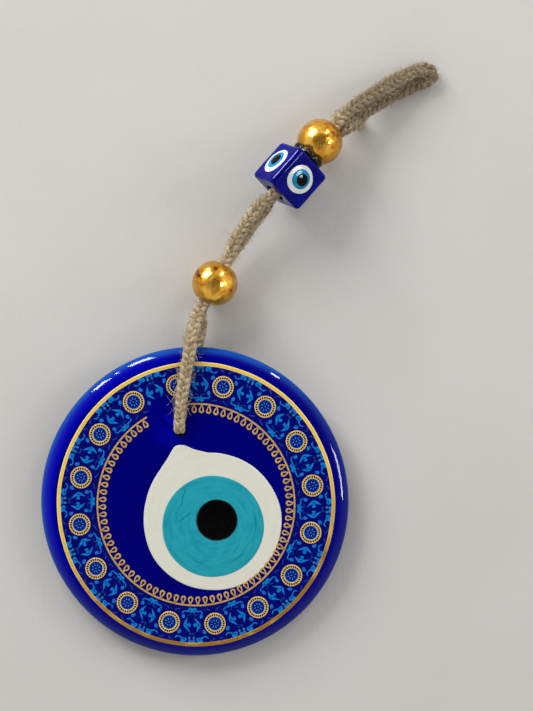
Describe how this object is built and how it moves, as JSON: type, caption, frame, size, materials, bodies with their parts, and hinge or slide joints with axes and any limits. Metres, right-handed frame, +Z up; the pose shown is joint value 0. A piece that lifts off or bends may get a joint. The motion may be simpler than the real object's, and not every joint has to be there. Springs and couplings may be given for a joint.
{
  "type": "evil eye wall ornament",
  "caption": "Round cobalt glass eye with a printed gold and blue border, hung on a plaited jute cord with gold beads, a cube bead and a bead cap.",
  "frame": {"origin": "on the table, under the middle of the glass disc", "axes": "+Z up out of the disc's face, +Y from the disc towards the beads on the cord, +X to the right"},
  "size_m": [0.1549, 0.231, 0.0246],
  "materials": {
    "cobalt_glass": "glossy opaque cobalt blue glass",
    "white_glass": "glossy opaque white glass",
    "turquoise_glass": "glossy streaked turquoise glass",
    "black_glass": "glossy black glass",
    "navy_ink": "fired navy print with light blue scrolls",
    "gold_ink": "fired gold lustre print",
    "medallion_ink": "gold ringed print with a blue rosette",
    "jute": "plaited natural jute",
    "bead_gold": "gold plated resin, polished",
    "cobalt_resin": "glossy cobalt blue resin",
    "white_resin": "glossy white resin",
    "blue_resin": "glossy light blue resin",
    "black_resin": "glossy black resin"
  },
  "bodies": {
    "disc": {"glass_disc": "cobalt_glass", "white_drop": "white_glass", "turquoise_iris": "turquoise_glass", "black_pupil": "black_glass", "printed_band": "navy_ink", "gold_border_line": "gold_ink", "gold_lace_line": "gold_ink", "medallion_01": "medallion_ink", "medallion_02": "medallion_ink", "medallion_03": "medallion_ink", "medallion_04": "medallion_ink", "medallion_05": "medallion_ink", "medallion_06": "medallion_ink", "medallion_07": "medallion_ink", "medallion_08": "medallion_ink", "medallion_09": "medallion_ink", "medallion_10": "medallion_ink", "medallion_11": "medallion_ink", "medallion_12": "medallion_ink", "medallion_13": "medallion_ink", "medallion_14": "medallion_ink", "medallion_15": "medallion_ink", "medallion_16": "medallion_ink"},
    "cord": {"cord_front_and_loop": "jute", "cord_hole_turn": "jute", "cord_back_and_tail": "jute", "upper_gold_bead": "bead_gold"},
    "lower_bead": {"lower_gold_bead": "bead_gold"},
    "cube": {"cube_bead": "cobalt_resin", "cube_eye_white_1": "white_resin", "cube_eye_blue_1": "blue_resin", "cube_eye_black_1": "black_resin", "cube_eye_white_2": "white_resin", "cube_eye_blue_2": "blue_resin", "cube_eye_black_2": "black_resin", "cube_eye_white_3": "white_resin", "cube_eye_blue_3": "blue_resin", "cube_eye_black_3": "black_resin", "cube_eye_white_4": "white_resin", "cube_eye_blue_4": "blue_resin", "cube_eye_black_4": "black_resin"},
    "cap": {"black_bead_cap": "black_resin"}
  },
  "joints": [
    {"name": "cord_swing", "type": "hinge", "parent": "disc", "child": "cord", "pos_m": [-0.0055, 0.02738, 0.01099], "axis": [0, -0.0467, 0.9989], "range_deg": [-15, 15]},
    {"name": "lower_bead_slide", "type": "slide", "parent": "cord", "child": "lower_bead", "axis": [0.475, 0.88, 0], "range_m": [-0.003, 0.003]},
    {"name": "cube_spin", "type": "hinge", "parent": "cord", "child": "cube", "pos_m": [0.037, 0.1262, 0.01265], "axis": [0.6536, 0.7518, -0.0872], "continuous": true},
    {"name": "cap_spin", "type": "hinge", "parent": "cord", "child": "cap", "pos_m": [0.037, 0.1262, 0.01265], "axis": [0.6536, 0.7518, -0.0872], "continuous": true}
  ]
}
